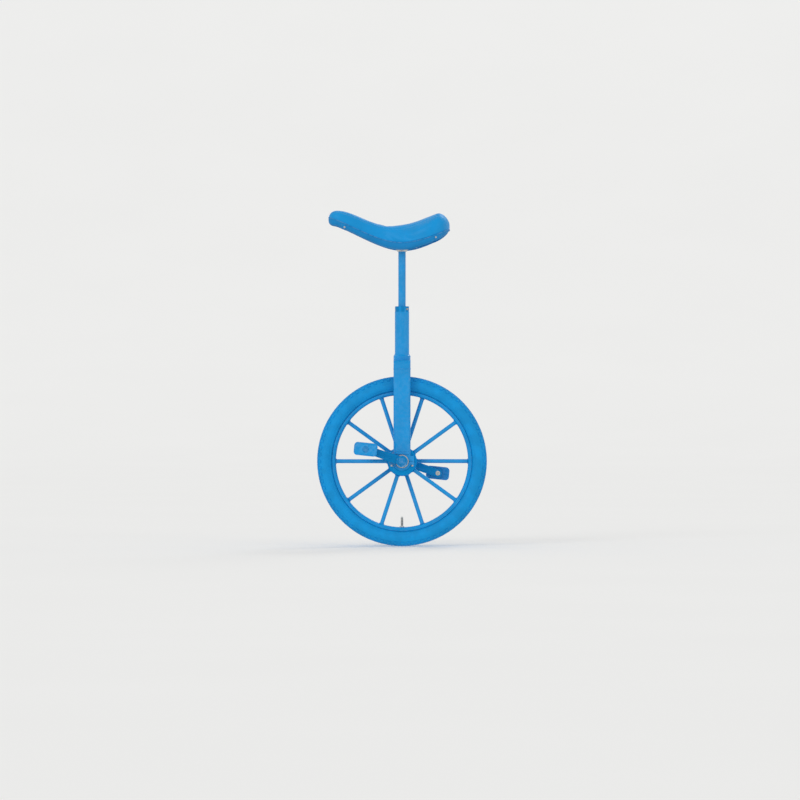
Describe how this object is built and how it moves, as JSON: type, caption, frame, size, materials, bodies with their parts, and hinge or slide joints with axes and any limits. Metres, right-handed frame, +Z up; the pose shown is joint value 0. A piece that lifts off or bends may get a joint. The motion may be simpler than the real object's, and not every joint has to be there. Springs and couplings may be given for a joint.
{
  "type": "unicycle",
  "caption": "Unicycle with a straight two-leg fork, a spoked pneumatic-tyre wheel driven directly by cranks and block pedals, and a curved padded saddle on a sliding post.",
  "frame": {"origin": "point where the tyre meets the ground, below the axle", "axes": "+Z up, Y along the wheel's axle with +Y to the rider's right, -X forwards, where the saddle's nose points"},
  "size_m": [0.508, 0.3464, 1.0039],
  "materials": {
    "frame_paint": "gloss powder coat",
    "clamp_metal": "anodised",
    "plain_steel": "zinc plated",
    "nylon": "moulded",
    "tyre_rubber": "coloured rubber",
    "tube_rubber": "butyl",
    "rim_metal": "satin powder coat",
    "spoke_paint": "gloss powder coat",
    "hub_metal": "anodised",
    "crank_metal": "anodised",
    "pedal_plastic": "moulded, fine grain",
    "tread_rubber": "ribbed rubber",
    "post_metal": "gloss powder coat",
    "base_plastic": "moulded",
    "bumper_plastic": "moulded, coarse grain",
    "foam": "polyurethane foam",
    "cover_fabric": "stitched vinyl"
  },
  "bodies": {
    "frame": {"neck_tube": "frame_paint", "neck_bush": "nylon", "clamp_head": "clamp_metal", "clamp_bolt": "plain_steel", "fork_crown": "frame_paint", "left_leg": "frame_paint", "right_leg": "frame_paint", "left_fork_end": "frame_paint", "right_fork_end": "frame_paint", "left_bearing_cap": "frame_paint", "right_bearing_cap": "frame_paint", "bearing_cap_bolts": "plain_steel", "bearing_outer_races": "plain_steel", "bearing_seals": "nylon"},
    "wheel": {"tyre": "tyre_rubber", "inner_tube": "tube_rubber", "rim_tape": "tube_rubber", "rim": "rim_metal", "spoke_01": "spoke_paint", "spoke_02": "spoke_paint", "spoke_03": "spoke_paint", "spoke_04": "spoke_paint", "spoke_05": "spoke_paint", "spoke_06": "spoke_paint", "spoke_07": "spoke_paint", "spoke_08": "spoke_paint", "spoke_09": "spoke_paint", "spoke_10": "spoke_paint", "spoke_bolts": "plain_steel", "hub": "hub_metal", "axle": "plain_steel", "bearing_inner_races": "plain_steel", "axle_spacers": "plain_steel", "left_crank": "crank_metal", "right_crank": "crank_metal", "crank_bolts": "plain_steel", "crank_dust_caps": "nylon", "left_pedal_spindle": "plain_steel", "right_pedal_spindle": "plain_steel", "valve_stem": "plain_steel", "valve_nut": "plain_steel"},
    "left_balls": {"left_bearing_balls": "plain_steel"},
    "right_balls": {"right_bearing_balls": "plain_steel"},
    "left_pedal": {"left_pedal_body": "pedal_plastic", "left_pedal_treads": "tread_rubber", "left_pedal_bushes": "nylon", "left_pedal_cap": "nylon"},
    "right_pedal": {"right_pedal_body": "pedal_plastic", "right_pedal_treads": "tread_rubber", "right_pedal_bushes": "nylon", "right_pedal_cap": "nylon"},
    "saddle": {"seat_post": "post_metal", "seat_bracket": "plain_steel", "seat_bolts": "plain_steel", "seat_base": "base_plastic", "seat_foam": "foam", "seat_cover": "cover_fabric", "front_bumper": "bumper_plastic", "rear_bumper": "bumper_plastic"}
  },
  "joints": [
    {"name": "wheel_spin", "type": "hinge", "parent": "frame", "child": "wheel", "pos_m": [0, 0, 0.254], "axis": [0, 1, 0], "continuous": true},
    {"name": "left_balls_roll", "type": "hinge", "parent": "frame", "child": "left_balls", "pos_m": [0, -0.05, 0.254], "axis": [0, 1, 0], "continuous": true},
    {"name": "right_balls_roll", "type": "hinge", "parent": "frame", "child": "right_balls", "pos_m": [0, 0.05, 0.254], "axis": [0, 1, 0], "continuous": true},
    {"name": "left_pedal_spin", "type": "hinge", "parent": "wheel", "child": "left_pedal", "pos_m": [-0.10779, 0, 0.29112], "axis": [0, 1, 0], "continuous": true},
    {"name": "right_pedal_spin", "type": "hinge", "parent": "wheel", "child": "right_pedal", "pos_m": [0.10779, 0, 0.21688], "axis": [0, 1, 0], "continuous": true},
    {"name": "saddle_height", "type": "slide", "parent": "frame", "child": "saddle", "axis": [0, 0, 1], "range_m": [-0.08, 0.03]}
  ],
  "couplings": [
    {"joint": "left_balls_roll", "follows": "wheel_spin", "ratio": 0.3816},
    {"joint": "right_balls_roll", "follows": "wheel_spin", "ratio": 0.3816}
  ]
}
